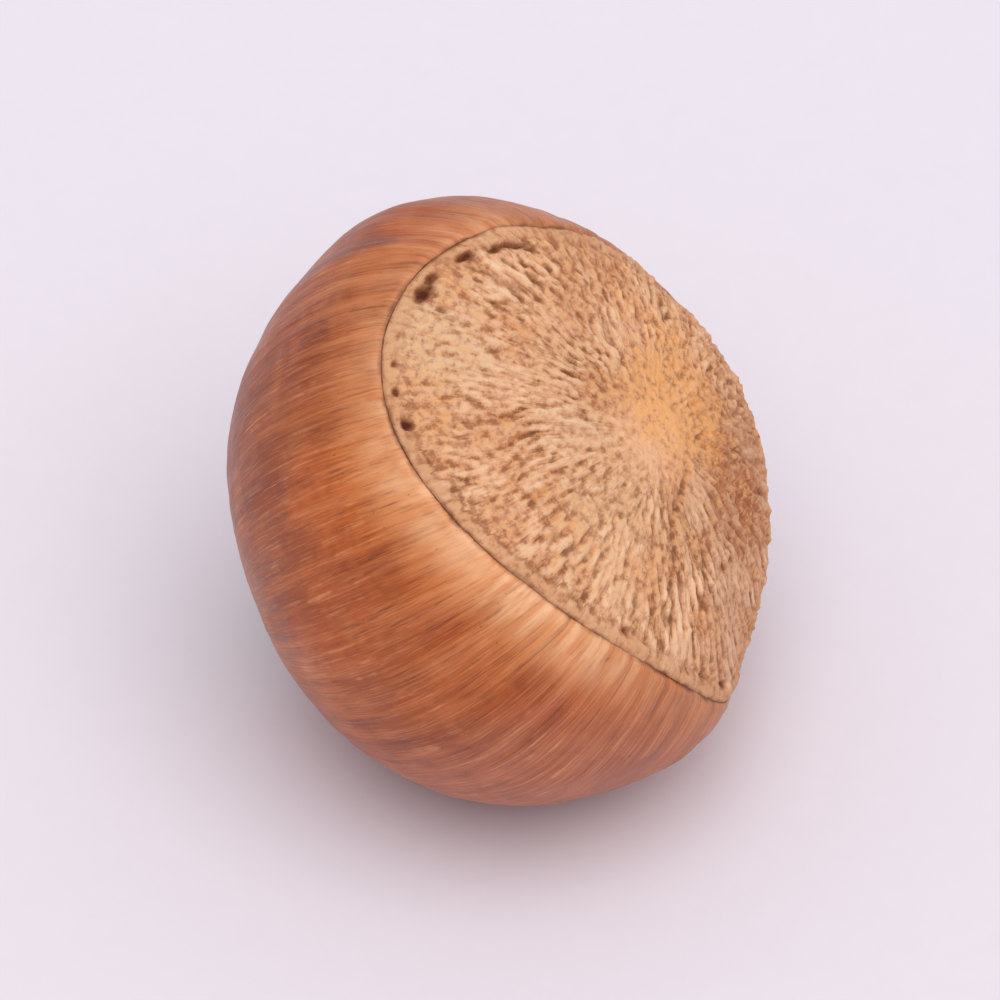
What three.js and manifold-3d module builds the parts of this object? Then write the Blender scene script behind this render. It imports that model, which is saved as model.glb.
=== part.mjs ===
// A whole hazelnut in its shell, lying on a small flat spot on its flank.
//
// The nut is first shaped in its own frame: the scar, where it grew out of its
// husk, faces local +Z, the pointed tip is at local -Z, and the shell is widest
// along local X, across its two sutures. It is then turned into the way it
// lies, cut flat where it touches the ground, and placed with the middle of its
// bounding box's bottom face at the origin. Millimetres, +Z up.

import * as THREE from 'three';
import { mergeVertices } from 'three/addons/utils/BufferGeometryUtils.js';
import Module from 'manifold-3d';

// Body, in the nut's own frame
const WIDTH = 20.8; // across the two sutures
const THICKNESS = 18.9; // across the two cheeks
const TIP_DEPTH = 9.2; // from the widest ring to the rounded tip
const SCAR_SHARE = 0.86; // scar width over body width
const SCAR_DOME = 2.3; // how far the scar's middle stands above its mean rim

// Unevenness of the grown shell. A wave is [waves around the nut, height, degrees of a crest].
const RIM_WAVES = [ // of the scar's rim, in radians of latitude
  [1, 0.023, 155],
  [2, 0.155, 46],
  [3, 0.056, 67],
  [4, 0.033, 36],
];
const BODY_WAVES = [ // of the shell, as a share of its radius
  [1, 0.0215, 135],
  [3, 0.034, 13],
];
const TWIST_HEIGHT = 0.022; // a two-sided swelling that turns as it nears the tip
const TWIST_TURN = 1.5; // radians it turns for each radian of latitude
const TWIST_START = 93; // degrees

// Details of the shell
const SUTURE_HEIGHT = 0.25; // the two low ridges where the halves meet
const SUTURE_FAINTER = 0.5; // how high the fainter one stands beside the other
const SUTURE_SPREAD = 0.15; // half-width of a ridge, as a sine around the nut
const POINT_HEIGHT = 1.4; // how far the shell rises to the point at the tip
const POINT_SPREAD = 0.3; // in radians from the tip

// How the nut lies
const SCAR_RISE = 41.5; // degrees that the scar's axis points above the horizon
const SCAR_HEADING = -19.3; // degrees from +X, seen from above
const ROLL = 67.3; // degrees from the level to the wide axis, around the scar's axis
const FLAT_DEPTH = 0.4; // how much is missing at the flat spot

// Mesh density
const AROUND = 64;
const SHELL_RINGS = 26;
const SCAR_RINGS = 7;

const SHELL_BROWN = 0xb5713f;

/** The sum of some waves at an angle around the nut. */
function sumWaves(waves, around) {
  let total = 0;
  for (const [count, height, crest] of waves) {
    total += height * Math.cos(count * (around - THREE.MathUtils.degToRad(crest)));
  }
  return total;
}

/** A bell curve, 1 at the middle. */
function bell(distance, spread) {
  return Math.exp(-((distance / spread) ** 2));
}

/** The latitude of the scar's rim, as an angle from the scar's axis. */
function rimAngle(around) {
  return Math.asin(SCAR_SHARE) + sumWaves(RIM_WAVES, around);
}

/** How far the sutures lift the shell. The stronger one is at local -X. */
function sutureLift(around) {
  const strength = Math.cos(around) < 0 ? 1 : SUTURE_FAINTER;
  return SUTURE_HEIGHT * strength * bell(Math.sin(around), SUTURE_SPREAD);
}

/** The shell at an angle from the scar's axis (pi is the tip) and an angle around it. */
function bodyPoint(fromScar, around) {
  const fromTip = Math.PI - fromScar;
  const ring = Math.sin(fromScar);
  const point = new THREE.Vector3(
    (WIDTH / 2) * ring * Math.cos(around),
    (THICKNESS / 2) * ring * Math.sin(around),
    TIP_DEPTH * Math.cos(fromScar),
  );
  const twist = around - THREE.MathUtils.degToRad(TWIST_START) + TWIST_TURN * fromScar;
  const swelling = ring ** 2 * (sumWaves(BODY_WAVES, around)
    + TWIST_HEIGHT * Math.cos(2 * twist));
  const outward = point.clone().normalize();
  const tip = POINT_HEIGHT * Math.exp(-fromTip / POINT_SPREAD);
  point.multiplyScalar(1 + swelling);
  return point.addScaledVector(outward, ring * sutureLift(around) + tip);
}

/** The scar's face, from its middle (0) to its rim (1). */
function scarPoint(outward, around) {
  const rim = bodyPoint(rimAngle(around), around);
  const meanRim = TIP_DEPTH * Math.sqrt(1 - SCAR_SHARE ** 2);
  return new THREE.Vector3(
    rim.x * outward,
    rim.y * outward,
    THREE.MathUtils.lerp(meanRim + SCAR_DOME, rim.z, outward ** 2),
  );
}

/** Rows of points from the scar's middle, over the rim, to the tip. */
function nutRings() {
  const rings = [];
  for (let i = 1; i <= SCAR_RINGS; i += 1) {
    rings.push((around) => scarPoint(i / SCAR_RINGS, around));
  }
  for (let i = 1; i < SHELL_RINGS; i += 1) {
    const along = i / SHELL_RINGS;
    rings.push((around) => {
      const start = rimAngle(around);
      return bodyPoint(start + (Math.PI - start) * along, around);
    });
  }
  return rings;
}

/** One closed triangle mesh through the rings, with a point at either pole. */
function nutGeometry() {
  const rings = nutRings();
  const positions = [...scarPoint(0, 0)];
  for (const ring of rings) {
    for (let k = 0; k < AROUND; k += 1) {
      positions.push(...ring((2 * Math.PI * k) / AROUND));
    }
  }
  positions.push(...bodyPoint(Math.PI, 0));

  const at = (row, k) => 1 + row * AROUND + (k % AROUND);
  const tip = positions.length / 3 - 1;
  const triangles = [];
  for (let k = 0; k < AROUND; k += 1) {
    triangles.push(0, at(0, k), at(0, k + 1));
    for (let row = 0; row + 1 < rings.length; row += 1) {
      triangles.push(at(row, k), at(row + 1, k), at(row + 1, k + 1));
      triangles.push(at(row, k), at(row + 1, k + 1), at(row, k + 1));
    }
    triangles.push(at(rings.length - 1, k), tip, at(rings.length - 1, k + 1));
  }
  const geometry = new THREE.BufferGeometry();
  geometry.setAttribute('position', new THREE.Float32BufferAttribute(positions, 3));
  geometry.setIndex(triangles);
  return geometry;
}

/** The turn from the nut's own frame to the way it lies. */
function lyingTurn() {
  const rise = THREE.MathUtils.degToRad(SCAR_RISE);
  const heading = THREE.MathUtils.degToRad(SCAR_HEADING);
  const roll = THREE.MathUtils.degToRad(ROLL);
  const scar = new THREE.Vector3(
    Math.cos(rise) * Math.cos(heading),
    Math.cos(rise) * Math.sin(heading),
    Math.sin(rise),
  );
  const level = new THREE.Vector3(-Math.sin(heading), Math.cos(heading), 0);
  const steep = scar.clone().cross(level);
  const wide = level.multiplyScalar(Math.cos(roll)).addScaledVector(steep, Math.sin(roll));
  return new THREE.Matrix4().makeBasis(wide, scar.clone().cross(wide), scar);
}

/** A closed geometry as a solid that can be cut. */
function toSolid(wasm, geometry) {
  const bare = geometry.clone();
  bare.deleteAttribute('normal');
  bare.deleteAttribute('uv');
  const merged = mergeVertices(bare, 1e-5);
  return new wasm.Manifold(new wasm.Mesh({
    numProp: 3,
    vertProperties: new Float32Array(merged.attributes.position.array),
    triVerts: new Uint32Array(merged.index.array),
  }));
}

/** A solid back as a geometry. */
function toGeometry(solid) {
  const mesh = solid.getMesh();
  const geometry = new THREE.BufferGeometry();
  geometry.setAttribute('position', new THREE.Float32BufferAttribute(mesh.vertProperties, 3));
  geometry.setIndex(new THREE.Uint32BufferAttribute(mesh.triVerts, 1));
  geometry.computeVertexNormals();
  return geometry;
}

/** The nut as it lies, with everything below the ground cut away. */
function restingNut(wasm) {
  const nut = nutGeometry().applyMatrix4(lyingTurn());
  nut.computeBoundingBox();
  nut.translate(0, 0, -nut.boundingBox.min.z - FLAT_DEPTH);
  const ground = new THREE.BoxGeometry(2 * WIDTH, 2 * WIDTH, WIDTH).translate(0, 0, -WIDTH / 2);
  const resting = toGeometry(toSolid(wasm, nut).subtract(toSolid(wasm, ground)));
  resting.computeBoundingBox();
  const middle = resting.boundingBox.getCenter(new THREE.Vector3());
  return resting.translate(-middle.x, -middle.y, 0);
}

const wasm = await Module();
wasm.setup();

const shell = new THREE.MeshStandardMaterial({
  color: SHELL_BROWN,
  roughness: 0.5,
  metalness: 0,
});
const hazelnut = new THREE.Mesh(restingNut(wasm), shell);
hazelnut.name = 'hazelnut';

const group = new THREE.Group();
group.add(hazelnut);

export default group;
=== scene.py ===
"""A whole hazelnut in its shell, lying on a pale floor.

The nut is one dense mesh. It is shaped in its own frame, in millimetres, with the
same formula as the CAD solid: the scar faces local +Z, the tip is at local -Z, and
the widest way across is local X. Relief is added along the surface's normals, then
the nut is turned into the way it lies and put where the CAD solid is.
"""

import math

import bpy
import numpy as np
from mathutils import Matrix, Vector


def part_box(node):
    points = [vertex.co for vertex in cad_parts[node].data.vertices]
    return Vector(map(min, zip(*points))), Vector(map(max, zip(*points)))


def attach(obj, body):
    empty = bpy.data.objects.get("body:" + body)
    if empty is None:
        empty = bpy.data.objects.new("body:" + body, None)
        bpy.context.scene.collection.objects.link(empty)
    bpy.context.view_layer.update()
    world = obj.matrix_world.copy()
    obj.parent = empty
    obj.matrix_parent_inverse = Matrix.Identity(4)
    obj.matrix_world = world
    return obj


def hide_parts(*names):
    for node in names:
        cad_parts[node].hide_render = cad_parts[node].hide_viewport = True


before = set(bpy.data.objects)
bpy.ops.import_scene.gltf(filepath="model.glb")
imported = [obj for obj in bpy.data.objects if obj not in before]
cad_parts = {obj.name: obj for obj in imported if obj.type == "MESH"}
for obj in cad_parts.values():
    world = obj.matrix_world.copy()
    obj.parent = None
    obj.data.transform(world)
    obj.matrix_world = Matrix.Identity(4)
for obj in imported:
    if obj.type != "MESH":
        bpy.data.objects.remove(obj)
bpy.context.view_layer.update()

MM = 0.001

# ---------------------------------------------------------------- the CAD solid's shape
WIDTH = 20.8  # across the two sutures
THICKNESS = 18.9  # across the two cheeks
TIP_DEPTH = 9.2  # from the widest ring to the rounded tip
SCAR_SHARE = 0.86  # scar width over body width
SCAR_DOME = 2.3  # how far the scar's middle stands above its mean rim
# A wave is (waves around the nut, height, degrees of a crest)
RIM_WAVES = [(1, 0.023, 155), (2, 0.155, 46), (3, 0.056, 67), (4, 0.033, 36)]  # in radians of latitude
BODY_WAVES = [(1, 0.0215, 135), (3, 0.034, 13)]  # as a share of the shell's radius
TWIST_HEIGHT = 0.022  # of a two-sided swelling that turns as it nears the tip
TWIST_TURN = 1.5
TWIST_START = 93
SUTURE_HEIGHT = 0.25
SUTURE_FAINTER = 0.5
SUTURE_SPREAD = 0.15
POINT_HEIGHT = 1.4
POINT_SPREAD = 0.3
SCAR_RISE = 41.5  # degrees that the scar's axis points above the horizon
SCAR_HEADING = -19.3  # degrees from +X, seen from above
ROLL = 67.3  # degrees from the level to the wide axis, around the scar's axis

# ---------------------------------------------------------------- measures over the nut, in mm
GIRTH_RADIUS = 10.0  # turns an angle around the nut into a length
SCAR_RADIUS = 8.7  # the mean one
RIM_LATITUDE = 59  # degrees from the scar's axis to the rim, on average
SHELL_LENGTH = 20.5  # over the shell, from the rim to the tip

# ---------------------------------------------------------------- mesh density
MOST_AROUND = 544
FEWEST_AROUND = 17
FINEST = 0.055  # mm between points around a ring, before the count is halved

# ---------------------------------------------------------------- the scar's details
RIDGED_RADIUS = 9.2  # mm, the scar's longest radius
STRAIGHT_AT = 195  # degrees around the scar, where its ridges run straightest
STRAIGHT_SPREAD = 75  # degrees to either side

# Ridges from coarse to fine: seed, wave packets per square mm, then as (at the middle, added at the
# rim) the pitch and a packet's reach across and along, and what is added along where ridges run
# straight, all in mm
COARSE_RIDGES = (3, 9, (0.45, 0.41), (0.26, 0.08), (0.42, 0.26), 0.9)
MEDIUM_RIDGES = (4, 16, (0.34, 0.16), (0.24, 0), (0.45, 0.2), 0)
FINE_RIDGES = (5, 22, (0.26, 0.08), (0.2, 0), (0.35, 0), 0)

BARE_PLACE = np.array([6.3, 4.7])  # mm from the scar's axis, where its ridges are worn away
BARE_SPREAD = 2.3

# Each pit: degrees around, mm in from the rim, half-length around, half-width across and depth, in mm.
# The last five are soft hollows.
PITS = [
    (60.5, 0.52, 0.23, 0.20, 0.34),
    (53.0, 0.46, 0.15, 0.12, 0.26),
    (46.5, 0.47, 0.16, 0.12, 0.26),
    (40.5, 0.50, 0.12, 0.10, 0.18),
    (29.5, 0.66, 0.38, 0.30, 0.30),
    (25.5, 0.56, 0.30, 0.18, 0.26),
    (31.5, 1.45, 0.16, 0.24, 0.20),
    (16.3, 0.62, 0.42, 0.18, 0.28),
    (9.5, 0.84, 0.36, 0.12, 0.24),
    (7.3, 0.78, 0.36, 0.12, 0.26),
    (5.1, 0.80, 0.36, 0.12, 0.26),
    (2.8, 0.92, 0.36, 0.12, 0.26),
    (0.3, 1.10, 0.36, 0.11, 0.22),
    (332.0, 1.46, 0.16, 0.12, 0.20),
    (229.5, 4.55, 0.24, 0.26, 0.15),
    (168.0, 1.80, 0.20, 0.22, 0.13),
    (149.0, 1.89, 0.20, 0.28, 0.15),
    (135.5, 1.69, 0.16, 0.20, 0.16),
    (133.5, 0.65, 0.18, 0.16, 0.20),
]
DEEP_PIT = 0.35  # mm, deep enough for a pit to show its full dark

# Grooves that run across the scar, as lines through points in mm from its axis
SEAMS = [
    [(-1.0, -1.3), (-1.4, -0.9), (-2.5, 0.4), (-3.1, 1.3), (-4.4, 2.0), (-5.5, 3.0)],
    [(-3.6, -0.9), (-4.2, -0.2), (-5.2, 0.3), (-6.1, 1.1), (-6.9, 1.6)],
]
SEAM_SPREAD = 0.13
SEAM_DEPTH = 0.13


# ---------------------------------------------------------------- the smooth shape
def sum_waves(waves, around):
    return sum(h * np.cos(n * (around - math.radians(crest))) for n, h, crest in waves)


def bell(distance, spread):
    return np.exp(-((distance / spread) ** 2))


def smooth(low, high, value):
    """0 below low, 1 above high, an easy curve between. Low may be above high."""
    t = np.clip((value - low) / (high - low), 0, 1)
    return t * t * (3 - 2 * t)


def unit(v):
    return v / np.maximum(np.linalg.norm(v, axis=-1, keepdims=True), 1e-12)


def rim_angle(around):
    """The latitude of the scar's rim, as an angle from the scar's axis."""
    return math.asin(SCAR_SHARE) + sum_waves(RIM_WAVES, around)


def body_points(from_scar, around):
    """The shell at angles from the scar's axis (pi is the tip) and angles around it."""
    ring = np.sin(from_scar)
    point = np.stack([
        WIDTH / 2 * ring * np.cos(around),
        THICKNESS / 2 * ring * np.sin(around),
        TIP_DEPTH * np.cos(from_scar),
    ], axis=-1)
    twist = around - math.radians(TWIST_START) + TWIST_TURN * from_scar
    swelling = ring**2 * (sum_waves(BODY_WAVES, around) + TWIST_HEIGHT * np.cos(2 * twist))
    strength = np.where(np.cos(around) < 0, 1, SUTURE_FAINTER)
    suture = SUTURE_HEIGHT * strength * bell(np.sin(around), SUTURE_SPREAD)
    tip = POINT_HEIGHT * np.exp(-(math.pi - from_scar) / POINT_SPREAD)
    return point * (1 + swelling)[..., None] + unit(point) * (ring * suture + tip)[..., None]


def scar_points(outward, around):
    """The scar's face, from its middle (0) to its rim (1)."""
    rim = body_points(rim_angle(around), around)
    mean_rim = TIP_DEPTH * math.sqrt(1 - SCAR_SHARE**2)
    height = (mean_rim + SCAR_DOME) * (1 - outward**2) + rim[..., 2] * outward**2
    return np.stack([rim[..., 0] * outward, rim[..., 1] * outward, height], axis=-1)


def lying_turn():
    """Columns are where the nut's own X, Y and Z point as it lies."""
    rise, heading, roll = (math.radians(a) for a in (SCAR_RISE, SCAR_HEADING, ROLL))
    level_reach = math.cos(rise)
    scar = np.array([level_reach * math.cos(heading), level_reach * math.sin(heading), math.sin(rise)])
    level = np.array([-math.sin(heading), math.cos(heading), 0.0])
    steep = np.cross(scar, level)
    wide = level * math.cos(roll) + steep * math.sin(roll)
    return np.stack([wide, np.cross(scar, wide), scar], axis=1)


# ---------------------------------------------------------------- random fields
GRADIENTS = np.array([
    [x, y, z] for x in (-1, 0, 1) for y in (-1, 0, 1) for z in (-1, 0, 1)
    if abs(x) + abs(y) + abs(z) == 2
], float)


def noise(points, seed):
    """Smooth random values, mostly within -0.7 to 0.7, about one lump per unit of length."""
    table = np.random.RandomState(seed).permutation(256)
    cell = np.floor(points).astype(int)
    inside = points - cell
    fade = inside**3 * (inside * (inside * 6 - 15) + 10)
    total = np.zeros(len(points))
    for corner in np.ndindex(2, 2, 2):
        at = cell + np.array(corner)
        key = table[at[:, 0] & 255]
        key = table[(key + at[:, 1]) & 255]
        key = table[(key + at[:, 2]) & 255]
        weight = np.prod(np.where(np.array(corner) == 1, fade, 1 - fade), axis=1)
        total += weight * (GRADIENTS[key % len(GRADIENTS)] * (inside - np.array(corner))).sum(1)
    return total


def layered(points, seed, octaves, rough=0.5):
    """Noise with finer and fainter noise on top."""
    total, weight = 0, 1.0
    for i in range(octaves):
        total = total + weight * noise(points * 2**i, seed + i)
        weight *= rough
    return total


def wander(points, size, seed):
    """A drift in two directions, with lumps of a size in mm."""
    return np.stack([noise(points / size, seed), noise(points / size, seed + 1)], 1)


def straightness(angle):
    """How straight the scar's ridges run at angles around it, from 0 to 1."""
    off_by = np.cos(angle - math.radians(STRAIGHT_AT))
    return smooth(math.cos(math.radians(STRAIGHT_SPREAD)), 1.0, off_by)


def ridge_stray(share, angle):
    """Degrees that ridges stray from the radius. Close to the middle they run all ways."""
    return (27 - 17 * straightness(angle)) * (1 - 0.2 * share) + 60 * (1 - smooth(0.08, 0.3, share))


def ridged_field(flat, seed, per_mm2, pitch, across, along, straightened):
    """Wavy ridges that run out from the middle of the scar, mostly within -2 to 2: many short wave
    packets, each with its crests along the radius. The constants above say what the rest is."""
    random = np.random.RandomState(seed)
    radius = RIDGED_RADIUS + 1
    count = int(per_mm2 * math.pi * radius**2)
    r = radius * np.sqrt(random.rand(count))
    angle = 2 * math.pi * random.rand(count)
    centre = np.stack([r * np.cos(angle), r * np.sin(angle)], 1)
    share = np.clip(r / RIDGED_RADIUS, 0, 1)
    spin = angle + math.pi / 2 + np.radians(ridge_stray(share, angle)) * random.randn(count)
    size = pitch[0] + pitch[1] * share
    size = size * (1 + 0.18 * random.randn(count)).clip(0.6, 1.5)
    phase = 2 * math.pi * random.rand(count)
    weight = 0.4 + random.rand(count)
    across_reach = across[0] + across[1] * share
    along_reach = along[0] + along[1] * share + straightened * straightness(angle)
    cut = 2.4 * np.maximum(across_reach, along_reach)
    total, power = np.zeros(len(flat)), np.zeros(len(flat))
    for i in range(count):
        offset = flat - centre[i]
        near = np.flatnonzero((np.abs(offset[:, 0]) < cut[i]) & (np.abs(offset[:, 1]) < cut[i]))
        if not len(near):
            continue
        offset = offset[near]
        c, s = math.cos(spin[i]), math.sin(spin[i])
        a = offset[:, 0] * c + offset[:, 1] * s
        b = offset[:, 1] * c - offset[:, 0] * s
        squared = (a / across_reach[i]) ** 2 + (b / along_reach[i]) ** 2
        envelope = weight[i] * np.exp(-0.5 * squared)
        total[near] += envelope * np.cos(2 * math.pi * a / size[i] + phase[i])
        power[near] += envelope**2
    return total / np.sqrt(np.maximum(power, 1e-6) / 2)


# ---------------------------------------------------------------- rows of points
def ring_count(radius):
    """Points around a ring: the most, halved until they are far enough apart."""
    count = MOST_AROUND
    while count > FEWEST_AROUND and 2 * math.pi * radius / count < FINEST:
        count //= 2
    return count


def spaced(length, step_at):
    """Shares of a length. The step to each depends on the mm before it and the mm left."""
    steps, at = [], 0.0
    while at < length:
        at += step_at(at, length - at)
        steps.append(at)
    return np.array(steps) / steps[-1]


def scar_step(at, left):
    """From one row of the scar to the next: closer together near the rim."""
    return min(0.095, 0.055 + 0.03 * left)


def shell_step(at, left):
    """From one row of the shell to the next: closer together near the rim and the tip."""
    return min(0.22, 0.055 + 0.06 * at, 0.09 + 0.09 * left)


class Rows:
    """Every row of the nut's points, from the scar's middle to the tip. A row's share says how
    far it is from the scar's middle to the rim, or from the rim to the tip."""

    def __init__(self):
        self.kind, self.share, self.count = [], [], []
        self.append("scar", 0.0, 1)
        for share in spaced(SCAR_RADIUS, scar_step):
            self.append("scar", share, ring_count(share * SCAR_RADIUS))
        for share in spaced(SHELL_LENGTH, shell_step)[:-1]:
            latitude = math.radians(RIM_LATITUDE + (180 - RIM_LATITUDE) * share)
            self.append("shell", share, ring_count(GIRTH_RADIUS * math.sin(latitude)))
        self.append("shell", 1.0, 1)
        self.first = np.concatenate([[0], np.cumsum(self.count)])
        # for each point
        self.around = np.concatenate([2 * math.pi * np.arange(n) / n for n in self.count])
        self.shares = np.repeat(self.share, self.count)
        self.on_scar = np.repeat([kind == "scar" for kind in self.kind], self.count)

    def append(self, kind, share, count):
        self.kind.append(kind)
        self.share.append(share)
        self.count.append(count)

    def point(self, row, step):
        """The number of the point so many steps around a row."""
        return int(self.first[row] + step % self.count[row])


def make_faces(rows):
    """Faces as lists of (row, step around), wound outward. A step may equal the row's count."""
    faces = []
    for row in range(len(rows.count) - 1):
        inner, outer = rows.count[row], rows.count[row + 1]
        if inner == 1:
            faces += [[(row, 0), (row + 1, k), (row + 1, k + 1)] for k in range(outer)]
        elif outer == 1:
            faces += [[(row, k), (row + 1, 0), (row, k + 1)] for k in range(inner)]
        elif inner == outer:
            faces += [[(row, k), (row + 1, k), (row + 1, k + 1), (row, k + 1)] for k in range(inner)]
        elif outer == 2 * inner:
            for k in range(inner):
                a, b = (row, k), (row, k + 1)
                c, d, e = ((row + 1, 2 * k + j) for j in range(3))
                faces += [[a, c, d], [a, d, b], [b, d, e]]
        elif inner == 2 * outer:
            for k in range(outer):
                a, b = (row + 1, k), (row + 1, k + 1)
                c, d, e = ((row, 2 * k + j) for j in range(3))
                faces += [[a, d, c], [a, b, d], [b, e, d]]
        else:
            raise ValueError("neighbouring rows must be equal, double or half")
    return faces


def point_normals(points, index):
    """A normal at each point, from the faces round it."""
    normals = np.zeros_like(points)
    for size in (3, 4):
        f = np.array([i for i in index if len(i) == size])
        if size == 3:
            n = np.cross(points[f[:, 1]] - points[f[:, 0]], points[f[:, 2]] - points[f[:, 0]])
        else:
            n = np.cross(points[f[:, 2]] - points[f[:, 0]], points[f[:, 3]] - points[f[:, 1]])
        for j in range(size):
            np.add.at(normals, f[:, j], n)
    return unit(normals)


# ---------------------------------------------------------------- relief
def small_pits():
    """Pits along the rest of the rim, faint at first."""
    random = np.random.RandomState(11)
    pits = []
    at = 70.0
    while at < 350:
        more_long, more_wide, more_deep = (0.05, 0.02, 0.05) if at < 150 else (0.22, 0.08, 0.30)
        inward = 0.55 + 0.2 * random.rand()
        half_length = 0.10 + more_long * random.rand()
        half_width = 0.08 + more_wide * random.rand()
        depth = 0.10 + more_deep * random.rand()
        pits.append((at, inward, half_length, half_width, depth))
        at += 5.5 + 6 * random.rand()
    return pits


def pit_field(rows, base, from_rim):
    """How much each point is in a pit, and how deep the pit is there."""
    from_axis = np.hypot(base[:, 0], base[:, 1])
    inside, depth = np.zeros(len(base)), np.zeros(len(base))
    ragged = (1 + 0.9 * layered(base / 0.35, 13, 2)).clip(0.4, 1.8)
    for angle, inward, half_length, half_width, deep in PITS + small_pits():
        turn = (rows.around - math.radians(angle) + math.pi) % (2 * math.pi) - math.pi
        squared = (turn * from_axis / half_length) ** 2 + ((-from_rim - inward) / half_width) ** 2
        shape = np.where(rows.on_scar, np.exp(-(ragged * squared) ** 1.5), 0)
        inside = np.maximum(inside, shape * min(1, deep / DEEP_PIT))
        depth = np.maximum(depth, shape * deep)
    return inside, depth


def seam_field(base, bend):
    """How much each point is in a groove that runs across the scar. Grooves fade at both ends."""
    flat = base[:, :2] + 0.18 * bend
    inside = np.zeros(len(base))
    for corners in SEAMS:
        pieces = len(corners) - 1
        for i, (start, end) in enumerate(zip(np.array(corners), np.array(corners[1:]))):
            span = end - start
            way = np.clip((flat - start) @ span / (span @ span), 0, 1)
            gap = np.linalg.norm(flat - start - way[:, None] * span, axis=1)
            done = (i + way) / pieces
            faded = smooth(0, 0.2, done) * smooth(1, 0.75, done)
            inside = np.maximum(inside, bell(gap, SEAM_SPREAD) * faded)
    return inside


def scar_relief(share, base, from_rim, grain):
    """The height of points on the scar, and their tone: above 0 on crests, below it in furrows."""
    flat = base[:, :2]
    bend = wander(base, 1.6, 73)
    bent = flat + 0.45 * wander(base, 2.4, 71)
    ridges = 0.60 * ridged_field(bent, *COARSE_RIDGES) + 0.72 * ridged_field(bent, *MEDIUM_RIDGES)
    fine = ridged_field(bent, *FINE_RIDGES)

    # how strong the ridges are: not at the middle, nor at the rim, nor on the bare place
    strength = smooth(0.10, 0.42, share) * (0.75 + 0.7 * layered(base / 2.6, 21, 2)).clip(0.35, 1.2)
    uneven_rim = from_rim + 0.45 * layered(grain / 1.8, 26, 2)
    strength = strength * (1 - 0.8 * smooth(-0.75, -0.2, uneven_rim))
    bare = bell(np.linalg.norm(flat - BARE_PLACE + 0.8 * bend, axis=1), BARE_SPREAD)
    strength = strength * (1 - 0.8 * bare)

    deeper = (1 + 1.1 * noise(base / 1.1, 24)).clip(0.3, 1.6)
    cavity = smooth(0.20, 1.60, -ridges * deeper)
    crest = np.clip(ridges, -0.4, 1.3)
    seam = seam_field(base, bend)
    lower = 1 - 0.5 * smooth(0.70, 0.92, share)
    height = lower * strength * (0.045 * crest - 0.085 * cavity) + 0.024 * fine * (0.35 + strength)
    height += 0.12 * layered(base / 2.2, 31, 3)
    height += 0.07 * layered(base / 0.5, 35, 3) * (1.25 - strength)
    height -= SEAM_DEPTH * seam
    tone = strength * (0.55 * crest - cavity) + 0.22 * fine - 1.3 * seam
    return height * smooth(0.0, -0.12, from_rim), tone


def rim_relief(from_rim, grain):
    """A groove, with the scar's edge and the shell's edge a little raised beside it."""
    drift = 0.05 * noise(grain / 2.3, 41) + 0.03 * noise(grain / 0.7, 42)
    groove_depth = 0.12 * (0.7 + 1.1 * noise(grain / 2.0, 43)).clip(0.15, 1.3)
    broken = (0.75 + 1.3 * noise(grain / 1.3, 46)).clip(0.1, 1.4)
    wrinkle = noise(grain * np.array([1, 1, 0.25]) / 0.38, 44) * bell(from_rim + 0.1, 0.9)
    groove = -groove_depth * bell(from_rim - 0.02, 0.13)
    scar_edge = 0.07 * broken * bell(from_rim + 0.36 + 2 * drift, 0.17)
    inner_line = -0.06 * broken * bell(from_rim + 0.66 + 3 * drift, 0.09)
    shell_edge = 0.05 * bell(from_rim - 0.38 + drift, 0.24)
    worn = -0.10 * bell(from_rim, 0.55)
    return groove + scar_edge + inner_line + shell_edge + worn + 0.045 * wrinkle


def shell_relief(base, from_rim, from_tip, grain):
    """The height of points on the shell, and its ribs, which the colour follows."""
    streak = grain * np.array([1, 1, 0.09])
    ribs = layered(streak / 1.15, 52, 2, 0.45)
    fine_ribs = noise(streak / np.array([0.42, 0.42, 0.5]), 56)
    strength = 0.55 + 0.6 * bell(from_rim, 4.0) + 0.7 * bell(from_tip, 4.0)
    strength = (strength + 0.5 * noise(grain / 6.0, 51)).clip(0.15, 1.5)
    height = strength * (0.07 * ribs + 0.026 * fine_ribs)
    height += 0.09 * layered(base / 4.5, 61, 2) + 0.02 * noise(base / 0.9, 64)
    height *= smooth(0.2, 1.0, from_rim)
    # the stub of the style at the tip, in its small hollow of down
    height += 0.35 * bell(from_tip, 0.42) - 0.12 * bell(from_tip - 1.0, 0.45)
    height += 0.05 * noise(base / 0.35, 66) * bell(from_tip, 2.0)
    return height, ribs


def relief(rows, base, from_rim, from_tip):
    """Millimetres to move each point outward, and the fields that the material reads.

    The grain is a place whose first two values go around the nut and whose third goes along
    the scar's fibres and the shell's streaks."""
    along = np.where(rows.on_scar, from_rim, SHELL_LENGTH * rows.shares)
    around = GIRTH_RADIUS * np.stack([np.cos(rows.around), np.sin(rows.around)], 1)
    grain = np.column_stack([around, along])
    grain[rows.shares == 0, :2] = 0

    scar, shell = rows.on_scar, ~rows.on_scar
    height, tone = np.zeros(len(base)), np.zeros(len(base))
    height[scar], tone[scar] = scar_relief(rows.shares[scar], base[scar], from_rim[scar], grain[scar])
    height[shell], tone[shell] = shell_relief(base[shell], from_rim[shell], from_tip[shell], grain[shell])
    inside_pit, pit_depth = pit_field(rows, base, from_rim)
    height += rim_relief(from_rim, grain) - pit_depth
    return height, {"grain": grain, "tone": tone, "pit": inside_pit}


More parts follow.
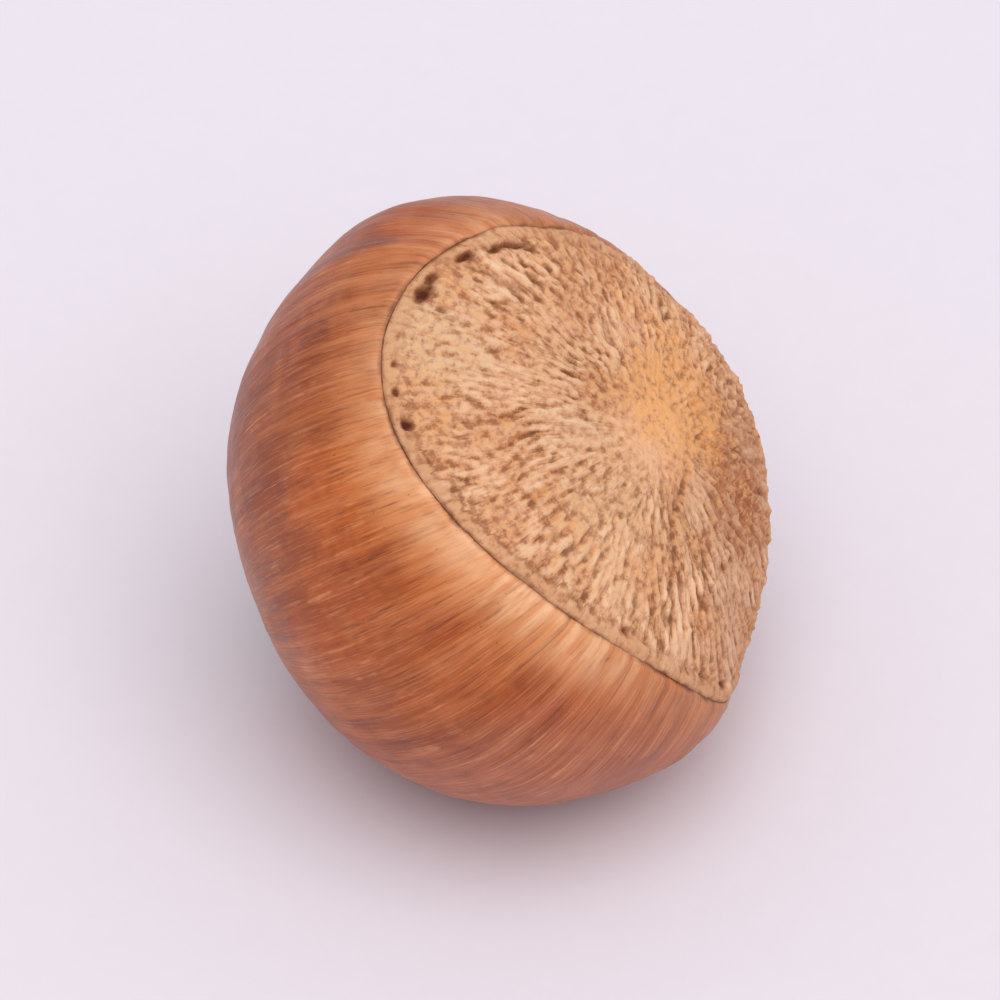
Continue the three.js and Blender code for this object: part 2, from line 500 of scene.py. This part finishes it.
# ---------------------------------------------------------------- the mesh
def bake_map(rows, faces):
    """A place on a square for each corner of each face: the scar and the tip's end as discs,
    and the belt between them as two strips. It is laid out in mm, and divided by the side."""
    gap = 0.5
    scar_radius = 9.6
    cap_start = 0.46  # the share of the shell where the tip's end begins
    belt = SHELL_LENGTH * cap_start
    cap_radius = SHELL_LENGTH - belt + 0.6
    half_girth = math.pi * GIRTH_RADIUS
    discs = 2 * scar_radius + 2 * cap_radius + 3 * gap
    side = max(discs, 2 * cap_radius + 2 * belt + 4 * gap, half_girth + 2 * gap)
    count = len(rows.count)
    first_cap = min(r for r in range(count) if rows.kind[r] == "shell" and rows.share[r] >= cap_start)
    rim_row = max(r for r in range(count) if rows.kind[r] == "scar")
    out = []
    for face in faces:
        lowest = min(row for row, step in face)
        # a pole has no turn of its own, so it takes the mean of the others
        turns = [step / rows.count[row] for row, step in face if rows.count[row] > 1]
        middle = sum(turns) / len(turns)
        for row, step in face:
            turn = step / rows.count[row] if rows.count[row] > 1 else middle
            angle = 2 * math.pi * turn
            if lowest < rim_row:
                reach = scar_radius * rows.share[row]
                u = gap + scar_radius + reach * math.cos(angle)
                v = gap + scar_radius + reach * math.sin(angle)
            elif lowest >= first_cap:
                reach = cap_radius * (1 - rows.share[row]) / (1 - rows.share[first_cap])
                u = side - gap - cap_radius + reach * math.cos(angle)
                v = gap + cap_radius - reach * math.sin(angle)
            else:
                share = 0 if rows.kind[row] == "scar" else rows.share[row]
                strip = 0 if middle < 0.5 else 1
                u = gap + (turn - 0.5 * strip) * 2 * half_girth
                v = side - gap - strip * (belt + gap) - share / rows.share[first_cap] * belt
            out.append((u / side, v / side))
    return np.array(out)


def laid_down(shaped, base):
    """The shaped points as they lie, in the CAD solid's box. Base is the same without relief."""
    turn = lying_turn().T
    lying, smooth_lying = shaped @ turn, base @ turn
    box_low, box_high = (np.array(corner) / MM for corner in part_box("hazelnut"))
    low, high = smooth_lying.min(0), smooth_lying.max(0)
    shift = (box_low + box_high) / 2 - (low + high) / 2
    shift[2] = box_high[2] - high[2]
    lying = lying + shift
    lying[:, 2] = np.maximum(lying[:, 2], 0)
    low, high = lying.min(0), lying.max(0)
    return box_low + (lying - low) * (box_high - box_low) / (high - low)


def make_nut():
    rows = Rows()
    faces = make_faces(rows)
    index = [[rows.point(row, step) for row, step in face] for face in faces]
    start = rim_angle(rows.around)
    on_shell = body_points(start + (math.pi - start) * rows.shares, rows.around)
    base = np.where(rows.on_scar[:, None], scar_points(rows.shares, rows.around), on_shell)
    from_rim = np.linalg.norm(base - body_points(start, rows.around), axis=1)
    from_rim *= np.where(rows.on_scar, -1, 1)
    from_tip = np.linalg.norm(base - base[-1], axis=1)
    height, fields = relief(rows, base, from_rim, from_tip)
    shaped = base + point_normals(base, index) * height[:, None]

    mesh = bpy.data.meshes.new("nut_in_shell")
    mesh.from_pydata((laid_down(shaped, base) * MM).tolist(), [], index)
    mesh.polygons.foreach_set("use_smooth", np.ones(len(index), bool))
    layer = mesh.uv_layers.new(name="OFBake")
    layer.uv.foreach_set("vector", bake_map(rows, faces).astype(np.float32).ravel())
    fields.update(edge=from_rim, tip=from_tip, place=base)
    for name, values in fields.items():
        kind, slot = ("FLOAT_VECTOR", "vector") if values.ndim == 2 else ("FLOAT", "value")
        attribute = mesh.attributes.new(name, kind, "POINT")
        attribute.data.foreach_set(slot, values.astype(np.float32).ravel())
    mesh.update()
    mesh.validate()
    nut = bpy.data.objects.new("nut_in_shell", mesh)
    bpy.context.scene.collection.objects.link(nut)
    return nut


# ---------------------------------------------------------------- material
def srgb(r, g, b):
    """A colour given in 0-255 display values, as the linear values that a shader takes."""
    display = [c / 255 for c in (r, g, b)]
    linear = [c / 12.92 if c <= 0.04045 else ((c + 0.055) / 1.055) ** 2.4 for c in display]
    return (*linear, 1.0)


class Tree:
    """Short ways to add nodes to a new material, or to the world's node tree."""

    def __init__(self, name=None, tree=None):
        if tree is None:
            self.material = bpy.data.materials.new(name)
            self.material.use_nodes = True
            tree = self.material.node_tree
        self.tree = tree
        self.tree.nodes.clear()

    def add(self, kind, inputs=(), **settings):
        node = self.tree.nodes.new(kind)
        for key, value in settings.items():
            setattr(node, key, value)
        for key, value in dict(inputs).items():
            self.put(node.inputs[key], value)
        return node

    def put(self, socket, value):
        if isinstance(value, bpy.types.NodeSocket):
            self.tree.links.new(value, socket)
        else:
            socket.default_value = value

    def scaled(self, vector, scale, offset=(0, 0, 0)):
        node = self.add("ShaderNodeMapping", {"Vector": vector, "Scale": scale, "Location": offset})
        return node.outputs["Vector"]

    def distance(self, vector, point):
        node = self.add("ShaderNodeVectorMath", {0: vector, 1: point}, operation="DISTANCE")
        return node.outputs["Value"]

    def noise(self, vector, detail=3.0, rough=0.55, warp=0.0):
        node = self.add("ShaderNodeTexNoise", {
            "Vector": vector, "Scale": 1.0, "Detail": detail, "Roughness": rough, "Distortion": warp,
        })
        return node.outputs["Fac"]

    def math(self, operation, a, b=0.0, c=0.0, clamp=False):
        node = self.add("ShaderNodeMath", operation=operation, use_clamp=clamp)
        for socket, value in zip(node.inputs, (a, b, c)):
            self.put(socket, value)
        return node.outputs[0]

    def plus(self, first, *others):
        """The sum of some values."""
        for other in others:
            first = self.math("ADD", first, other)
        return first

    def times(self, a, b, clamp=False):
        return self.math("MULTIPLY", a, b, clamp=clamp)

    def span(self, value, low, high, to_low=0.0, to_high=1.0):
        """A value's way from low to high, eased, as a number from to_low to to_high."""
        node = self.add("ShaderNodeMapRange", {
            "Value": value, "From Min": low, "From Max": high, "To Min": to_low, "To Max": to_high,
        }, interpolation_type="SMOOTHSTEP")
        return node.outputs["Result"]

    def mix(self, share, a, b):
        """The node has sockets for every data type, so the ones for colours go by number."""
        inputs = {0: share, 6: a, 7: b}
        return self.add("ShaderNodeMix", inputs, data_type="RGBA", clamp_factor=True).outputs[2]

    def tint(self, colour, share, tint):
        """A colour with a share of another, in display values, laid over it."""
        return self.mix(share, colour, srgb(*tint))

    def ramp(self, value, stops):
        """The colour at a value between stops of (value, colour in display values)."""
        node = self.add("ShaderNodeValToRGB", {"Fac": value})
        ramp = node.color_ramp
        while len(ramp.elements) > 1:
            ramp.elements.remove(ramp.elements[0])
        for i, (at, colour) in enumerate(stops):
            element = ramp.elements[0] if i == 0 else ramp.elements.new(at)
            element.position = at
            element.color = srgb(*colour)
        return node.outputs["Color"]

    def finish(self, **inputs):
        shader = self.add("ShaderNodeBsdfPrincipled", {k.replace("_", " "): v for k, v in inputs.items()})
        self.add("ShaderNodeOutputMaterial", {"Surface": shader.outputs[0]})
        return self.material


class NutTree(Tree):
    """The nut's material, with what the mesh says of each point and the noises that layers share."""

    def __init__(self):
        super().__init__("nutshell")
        self.grain, self.place = (self.field(name, "Vector") for name in ("grain", "place"))
        self.edge, self.tip, self.tone, self.pit = (
            self.field(name, "Fac") for name in ("edge", "tip", "tone", "pit")
        )
        # on the shell, from broad to fine
        self.streaks = self.grained(2.3, 0.10, (3, 0, 0), 4.0, 0.6, 0.2)
        self.hairlines = self.grained(6.5, 0.24, (0, 5, 0), 4.0, 0.65, 0.1)
        self.hairs = self.grained(15.0, 0.55, (8, 5, 0), 3.0, 0.7)
        # at the rim. The cheek is where the painted highlight beside the scar is strongest.
        self.dashes = self.grained(2.1, 0.45, (1, 2, 3), 3.0, 0.6)
        self.cheek = self.round_place((-0.5, 8.4, 4.2), 8.0, 3.5)
        # on the scar. Its fibres all meet at the middle, so they fade there.
        self.from_middle = self.distance(self.place, (0.0, 0.0, 7.0))
        self.crumbs = self.even(3.2, (0, 0, 0), 4.0, 0.65)
        fibres = self.grained(5.5, 0.8, (7, 0, 0), 4.0, 0.65)
        fibres = self.math("SUBTRACT", fibres, 0.5)
        self.fibres = self.math("MULTIPLY_ADD", fibres, self.span(self.from_middle, 0.4, 3.2), 0.5)

    def field(self, name, output):
        return self.add("ShaderNodeAttribute", attribute_name=name).outputs[output]

    def grained(self, across, along, offset=(0, 0, 0), detail=3.0, rough=0.55, warp=0.0):
        """Noise with so many lumps per mm across the grain and along it."""
        return self.noise(self.scaled(self.grain, (across, across, along), offset), detail, rough, warp)

    def even(self, per_mm, offset=(0, 0, 0), detail=3.0, rough=0.55, warp=0.0):
        """Noise with so many lumps per mm every way."""
        return self.noise(self.scaled(self.place, (per_mm, per_mm, per_mm), offset), detail, rough, warp)

    def round_place(self, middle, far, near):
        """0 beyond far mm from a place, 1 within near."""
        return self.span(self.distance(self.place, middle), far, near)

    def patch(self, middle, far, near, amount, *frays):
        """A patch round a place. Frays are noises that break up its edge."""
        return self.times(self.plus(self.round_place(middle, far, near), *frays), amount, clamp=True)


def shell_colour(t):
    """Long streaks over broad patches, then fine lines, with painted shade on one side and a painted floor
    bounce underneath, and paler beside the scar, with short pale streaks and a painted highlight there.
    """
    long_streaks = t.grained(0.70, 0.05, (0, 0, 0), 3.0, 0.6, 0.25)
    shell = t.ramp(t.plus(t.times(long_streaks, 0.5), t.times(t.streaks, 0.5)), [
        (0.35, (128, 54, 18)), (0.45, (158, 76, 28)), (0.54, (176, 90, 36)), (0.66, (200, 118, 60)),
    ])
    broad = t.even(0.20, (0, 0, 0), 2.0)
    shell = t.tint(shell, t.span(broad, 0.38, 0.68, 0.0, 0.6), (184, 84, 26))
    blotches = t.even(0.42, (6, 1, 2), 3.0, 0.5, 0.4)
    shell = t.tint(shell, t.span(blotches, 0.50, 0.68, 0.0, 0.5), (150, 66, 20))
    shell = t.tint(shell, t.span(blotches, 0.48, 0.32, 0.0, 0.4), (206, 126, 74))

    # painted shade on one side, the warm blotch on the cheek and a painted rosy floor bounce on the
    # underside
    breaks = t.even(0.7, (5, 5, 5), 3.0, 0.6)
    # painted shade: the shell darkened on the side away from the light
    painted_shade_side = t.patch((6.0, 6.0, -5.0), 7.5, 2.5, 0.42, t.span(t.streaks, 0.35, 0.7, 0.3, -0.3))
    shell = t.tint(shell, painted_shade_side, (138, 58, 18))
    warmer = t.patch((3.4, 8.9, 0.3), 3.4, 0.8, 0.55, t.span(breaks, 0.35, 0.65, -0.4, 0.4))
    shell = t.tint(shell, warmer, (206, 104, 36))
    # painted reflected light: a rosy cast from the pale floor, laid over the underside
    painted_floor_bounce = t.patch((-8.6, 4.4, -0.6), 7.5, 2.5, 0.6, t.span(t.streaks, 0.35, 0.7, -0.3, 0.3))
    shell = t.tint(shell, painted_floor_bounce, (184, 114, 88))
    # a paler band beside the scar, with a painted highlight over it that is strongest on the cheek
    pale_band_and_highlight = t.plus(t.span(t.edge, 4.0, 0.4, -0.12, 0.92), t.span(t.streaks, 0.3, 0.7, -0.2, 0.2))
    pale_band_and_highlight = t.times(pale_band_and_highlight, t.math("MULTIPLY_ADD", t.cheek, 0.6, 0.38), clamp=True)
    shell = t.tint(shell, pale_band_and_highlight, (226, 144, 84))

    # lines, hairs and specks
    pale_lines = t.times(t.span(t.hairlines, 0.54, 0.66), t.span(breaks, 0.42, 0.62, 0.0, 0.5))
    shell = t.tint(shell, pale_lines, (224, 158, 110))
    dark_lines = t.times(t.span(t.hairlines, 0.47, 0.35), t.span(breaks, 0.60, 0.40, 0.05, 0.55))
    shell = t.tint(shell, dark_lines, (98, 40, 16))
    shell = t.tint(shell, t.span(t.hairs, 0.52, 0.68, 0.0, 0.35), (222, 150, 98))
    shell = t.tint(shell, t.span(t.hairs, 0.48, 0.34, 0.0, 0.35), (118, 50, 20))
    specks = t.even(5.0, (2, 7, 1), 2.0, 0.5)
    shell = t.tint(shell, t.span(specks, 0.70, 0.76, 0.0, 0.45), (92, 40, 18))

    # short pale streaks at the rim with a painted highlight over them, strongest on the cheek
    pale_streaks_and_highlight = t.times(t.span(t.edge, 2.4, 0.25), t.span(t.dashes, 0.38, 0.64, 0.25, 1.0))
    elsewhere = t.span(t.grained(0.16, 0.05, (4, 0, 2), 1.0), 0.35, 0.6, 0.1, 0.4)
    pale_streaks_and_highlight = t.times(pale_streaks_and_highlight, t.math("MULTIPLY_ADD", t.cheek, 0.6, elsewhere), clamp=True)
    return t.tint(shell, pale_streaks_and_highlight, (250, 194, 146))


def downy_share(t):
    """How much down there is: a ring at the tip, in streaks that run up the shell."""
    downy = t.plus(t.span(t.tip, 6.5, 1.2, -0.35, 1.0), t.span(t.streaks, 0.35, 0.7, -0.45, 0.45))
    return t.times(t.span(t.tip, 8.0, 3.0), t.span(downy, 0.1, 1.0))


def scar_colour(t):
    """Pale ridges and brown furrows, then patches, crumbs and the rim's own edge and line."""
    level = t.plus(
        t.tone, t.span(t.fibres, 0.3, 0.7, -0.45, 0.45), t.span(t.crumbs, 0.3, 0.7, -0.35, 0.35),
    )
    scar = t.ramp(t.span(level, -1.7, 1.7), [
        (0.04, (128, 76, 44)), (0.22, (176, 118, 79)), (0.42, (218, 159, 116)),
        (0.60, (238, 183, 140)), (0.85, (252, 214, 175)),
    ])
    stains = t.even(0.45, (1, 8, 3), 3.0, 0.6)
    scar = t.tint(scar, t.span(stains, 0.42, 0.62, 0.0, 0.40), (190, 130, 94))
    scar = t.tint(scar, t.span(stains, 0.48, 0.34, 0.0, 0.35), (248, 196, 156))

    # a brown side with painted shade towards the scar's edge, the mauve corner, a pale place, the bare
    # place, the middle and a golden patch
    # brown colour on one side of the scar, deepened into painted shade towards its edge
    brown_and_painted_shade = t.patch((-3.0, -4.6, 5.8), 4.6, 1.6, 0.70, t.span(stains, 0.35, 0.65, -0.3, 0.3))
    scar = t.tint(scar, brown_and_painted_shade, (180, 110, 68))
    mauve = t.patch((-8.2, -1.4, 4.8), 4.2, 1.2, 0.3, t.span(t.fibres, 0.35, 0.65, -0.4, 0.4))
    scar = t.tint(scar, mauve, (186, 132, 114))
    pale = t.patch((-1.9, 3.8, 6.5), 3.6, 0.8, 0.38, t.span(t.crumbs, 0.35, 0.65, -0.4, 0.4))
    scar = t.tint(scar, pale, (246, 198, 152))
    on_crests = t.span(t.tone, -0.6, 0.3, 0.1, 0.6)
    whiter = t.patch((6.4, 4.8, 4.2), 2.8, 0.8, on_crests, t.span(t.crumbs, 0.35, 0.65, -0.5, 0.5))
    scar = t.tint(scar, whiter, (228, 194, 156))
    scar = t.tint(scar, t.span(t.from_middle, 2.6, 0.2, 0.0, 0.6), (242, 184, 138))
    golden = t.patch(
        (0.9, -2.4, 6.8), 5.0, 0.8, 0.62,
        t.span(stains, 0.35, 0.65, -0.35, 0.35), t.span(t.crumbs, 0.35, 0.65, -0.45, 0.45),
    )
    scar = t.tint(scar, golden, (250, 180, 112))

    freckles = t.times(t.span(t.crumbs, 0.46, 0.34), t.span(stains, 0.4, 0.6, 0.25, 0.6))
    scar = t.tint(scar, freckles, (172, 110, 68))
    raised_edge = t.times(t.span(t.edge, -0.75, -0.42), t.span(t.crumbs, 0.35, 0.6, 0.2, 0.7))
    scar = t.tint(scar, raised_edge, (218, 162, 118))
    from_line = t.math("ABSOLUTE", t.plus(t.edge, t.span(t.dashes, 0.25, 0.75, 0.42, 0.92)))
    inner_line = t.times(t.span(from_line, 0.15, 0.02), t.span(t.crumbs, 0.38, 0.58, 0.2, 1.0))
    inner_line = t.times(inner_line, t.math("MULTIPLY_ADD", t.cheek, 0.45, 0.3))
    return t.tint(scar, inner_line, (150, 92, 58))


def nut_material():
    t = NutTree()
    downy = downy_share(t)
    down = t.grained(9.0, 1.6, (2, 2, 2), 3.0, 0.65)
    shell = shell_colour(t)
    shell = t.mix(downy, shell, t.ramp(down, [(0.3, (160, 114, 80)), (0.7, (216, 180, 144))]))
    shell = t.tint(shell, t.span(t.tip, 0.6, 0.3), (70, 44, 28))

    # one over the other at the rim, with a dark line between
    past_rim = t.plus(t.edge, t.span(t.grained(0.9, 0.9), 0.2, 0.8, -0.1, 0.1))
    on_shell = t.span(past_rim, -0.03, 0.05)
    colour = t.mix(on_shell, scar_colour(t), shell)
    line = t.span(t.math("ABSOLUTE", past_rim), 0.19, 0.03)
    line = t.times(line, t.span(t.grained(0.5, 0.5, (9, 0, 0)), 0.36, 0.6, 0.15, 0.8))
    colour = t.tint(colour, line, (112, 58, 32))
    hollow = t.plus(t.pit, t.span(t.crumbs, 0.3, 0.7, -0.15, 0.15))
    colour = t.tint(colour, t.span(hollow, 0.10, 0.55, 0.0, 0.8), (142, 84, 46))
    colour = t.tint(colour, t.span(hollow, 0.40, 0.90), (92, 38, 13))

    # a satin shell beside a dull scar and down
    shell_rough = t.span(t.plus(t.streaks, t.times(t.hairlines, 0.5)), 0.5, 1.1, 0.30, 0.48)
    rough = t.mix(on_shell, (0.8, 0.8, 0.8, 1), shell_rough)
    rough = t.mix(downy, rough, (0.85, 0.85, 0.85, 1))

    # the finest relief
    micro = t.even(12, (0, 0, 0), 3.0, 0.6)
    shell_lines = t.plus(t.times(t.hairlines, 0.7), t.times(t.streaks, 0.6), t.times(t.hairs, 0.35))
    shell_lines = t.times(shell_lines, t.span(t.tip, 0.8, 5.0))
    shell_height = t.plus(shell_lines, t.times(micro, 0.18), t.times(t.times(downy, down), 1.5))
    scar_height = t.plus(t.times(t.fibres, 1.3), t.times(t.crumbs, 1.6), t.times(micro, 0.6))
    height = t.mix(on_shell, scar_height, shell_height)
    bump = t.add("ShaderNodeBump", {"Height": height, "Distance": 0.05 * MM, "Strength": 1.0})
    return t.finish(
        Base_Color=colour, Roughness=rough, Normal=bump.outputs["Normal"], IOR=1.5, Specular_IOR_Level=0.38,
    )


# ---------------------------------------------------------------- the studio, in metres
FLOOR_HALF = 6.0
FLOOR_DROP = 0.00002  # the floor lies this far under the nut
PAPER_TOOTH = 900  # lumps per metre
CAMERA_RISE = 45  # degrees above the horizon
CAMERA_BACK = 0.54
CAMERA_LENS = 570
SENSOR = 36


def make_floor():
    half, z = FLOOR_HALF, -FLOOR_DROP
    corners = [(-half, -half, z), (half, -half, z), (half, half, z), (-half, half, z)]
    mesh = bpy.data.meshes.new("floor")
    mesh.from_pydata(corners, [], [(0, 1, 2, 3)])
    floor = bpy.data.objects.new("floor", mesh)
    bpy.context.scene.collection.objects.link(floor)
    t = Tree("floor_paper")
    place = t.add("ShaderNodeTexCoord").outputs["Object"]
    tooth = t.noise(t.scaled(place, (PAPER_TOOTH, PAPER_TOOTH, PAPER_TOOTH)))
    colour = t.ramp(tooth, [(0.2, (233, 227, 235)), (0.8, (235, 229, 237))])
    floor.data.materials.append(t.finish(Base_Color=colour, Roughness=0.9, IOR=1.3))


def make_surroundings():
    """White walls that are dimmer low down, with a band at the horizon that the floor fades into."""
    world = bpy.data.worlds.new("studio")
    bpy.context.scene.world = world
    world.use_nodes = True
    t = Tree(tree=world.node_tree)
    direction = t.add("ShaderNodeTexCoord").outputs["Generated"]
    height = t.add("ShaderNodeSeparateXYZ", {0: direction}).outputs["Z"]
    sky = t.mix(t.span(height, 0.1, 0.9), (0.48, 0.47, 0.505, 1), (0.68, 0.67, 0.70, 1))
    horizon = t.span(t.math("ABSOLUTE", height), 0.07, 0.04)
    sky = t.mix(horizon, sky, (0.855, 0.790, 0.863, 1))
    background = t.add("ShaderNodeBackground", {"Color": sky})
    t.add("ShaderNodeOutputWorld", {"Surface": background.outputs[0]})


def make_softbox():
    """A wide softbox overhead, a little to the right and towards the camera."""
    lamp = bpy.data.lights.new("softbox", "SUN")
    lamp.energy = 1.42
    lamp.angle = math.radians(60)
    lamp.color = (1.0, 0.985, 0.97)
    softbox = bpy.data.objects.new("softbox", lamp)
    softbox.rotation_euler = Vector((0.15, -0.38, 1.0)).to_track_quat("Z", "Y").to_euler()
    bpy.context.scene.collection.objects.link(softbox)


def make_camera():
    lo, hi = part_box("hazelnut")
    data = bpy.data.cameras.new("camera")
    data.lens = CAMERA_LENS
    data.sensor_width = SENSOR
    camera = bpy.data.objects.new("camera", data)
    rise = math.radians(CAMERA_RISE)
    back = Vector((0, -math.cos(rise), math.sin(rise)))
    camera.location = (lo + hi) / 2 + back * CAMERA_BACK
    camera.rotation_mode = "QUATERNION"
    camera.rotation_quaternion = back.to_track_quat("Z", "Y")
    bpy.context.scene.collection.objects.link(camera)
    bpy.context.scene.camera = camera


make_camera()
make_surroundings()
make_softbox()
make_floor()
nut = make_nut()
nut.data.materials.append(nut_material())
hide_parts("hazelnut")
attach(nut, "root")
bpy.context.scene.view_settings.view_transform = "Standard"
